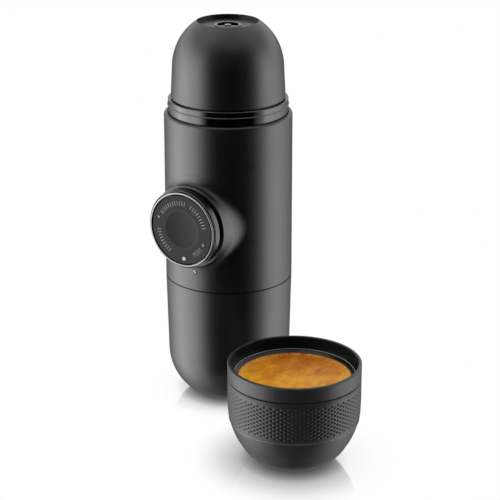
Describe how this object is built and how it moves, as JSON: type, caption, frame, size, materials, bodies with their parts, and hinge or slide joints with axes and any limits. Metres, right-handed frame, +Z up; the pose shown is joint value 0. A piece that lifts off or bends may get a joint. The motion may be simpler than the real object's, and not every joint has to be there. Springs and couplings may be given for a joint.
{
  "type": "handheld manual espresso maker",
  "caption": "Capsule-shaped hand espresso maker: water tank, piston pump with a bayonet-locked knob, screw-on outlet head and a separate knurled cup.",
  "frame": {"origin": "centre of the water tank's flat base, on the surface that the unit stands on", "axes": "+Z up along the capsule's axis; the piston knob points along -Y; the cup stands at +X, -Y"},
  "size_m": [0.1232, 0.1048, 0.176],
  "materials": {
    "body_matte": "fine textured, matte charcoal",
    "black_gloss": "gloss black",
    "inner_plastic": "moulded, dark grey",
    "pump_plastic": "moulded, translucent grey look",
    "seal_rubber": "soft, matte",
    "steel": "plain steel",
    "polished": "polished bevel",
    "satin_band": "satin dark grey",
    "coffee": "coffee with a light brown foam"
  },
  "bodies": {
    "housing": {"body_shell": "body_matte", "index_dot": "steel", "tank_neck": "black_gloss", "vent_valve": "seal_rubber", "pump_cylinder": "pump_plastic", "cylinder_gland": "inner_plastic", "inlet_valve_cage": "inner_plastic", "outlet_valve_cage": "inner_plastic", "brew_chamber": "inner_plastic", "shower_screen": "steel", "shower_seal": "seal_rubber", "cup_collar": "black_gloss", "piston_guide": "black_gloss"},
    "inlet_valve": {"inlet_ball": "steel", "inlet_spring": "steel"},
    "outlet_valve": {"outlet_ball": "steel", "outlet_spring": "steel"},
    "plunger": {"plunger_rod": "steel", "piston_head": "inner_plastic", "piston_seals": "seal_rubber", "rod_screw": "steel", "return_spring": "steel"},
    "knob": {"knob_cap": "satin_band", "knob_ring": "polished", "knob_face": "body_matte", "knob_dots": "polished"},
    "tank_gasket": {"tank_seal": "seal_rubber"},
    "tank": {"tank_shell": "body_matte"},
    "outlet_gasket": {"head_gasket": "seal_rubber"},
    "outlet_head": {"head_shell": "body_matte", "head_funnel": "black_gloss", "outlet_nozzle": "black_gloss"},
    "basket": {"filter_basket": "steel", "filter_disc": "steel"},
    "cup": {"cup_shell": "body_matte", "cup_liner": "black_gloss", "cup_rim_ring": "satin_band", "cup_grip_band": "body_matte", "espresso": "coffee"}
  },
  "joints": [
    {"name": "plunger_slide", "type": "slide", "parent": "housing", "child": "plunger", "axis": [0, -1, 0], "range_m": [0, 0.018], "deforming": ["return_spring"]},
    {"name": "knob_turn", "type": "hinge", "parent": "plunger", "child": "knob", "pos_m": [0, -0.033, 0.089], "axis": [0, -1, 0], "range_deg": [-45, 0]},
    {"name": "inlet_valve_lift", "type": "slide", "parent": "housing", "child": "inlet_valve", "axis": [0, 0, 1], "range_m": [0, 0.0012], "stiffness_N_per_m": 20, "springref_m": -0.001, "deforming": ["inlet_spring"]},
    {"name": "outlet_valve_lift", "type": "slide", "parent": "housing", "child": "outlet_valve", "axis": [0, 0, 1], "range_m": [0, 0.0012], "stiffness_N_per_m": 20, "springref_m": -0.001, "deforming": ["outlet_spring"]},
    {"name": "tank_pull", "type": "slide", "parent": "housing", "child": "tank_gasket", "axis": [0, 0, -1], "range_m": [0, 0.02]},
    {"name": "tank_turn", "type": "hinge", "parent": "tank_gasket", "child": "tank", "pos_m": [0, 0, 0.05], "axis": [0, 0, 1], "range_deg": [-90, 0]},
    {"name": "head_lift", "type": "slide", "parent": "housing", "child": "outlet_gasket", "axis": [0, 0, 1], "range_m": [0, 0.06]},
    {"name": "head_turn", "type": "hinge", "parent": "outlet_gasket", "child": "outlet_head", "pos_m": [0, 0, 0.14], "axis": [0, 0, 1], "range_deg": [0, 90]},
    {"name": "basket_lift", "type": "slide", "parent": "housing", "child": "basket", "axis": [0, 0, 1], "range_m": [0, 0.03]},
    {"name": "cup_lift", "type": "slide", "parent": "housing", "child": "cup", "axis": [0, 0, 1], "range_m": [0, 0.06]}
  ],
  "couplings": [
    {"joint": "basket_lift", "follows": "head_lift", "ratio": 0.5}
  ]
}
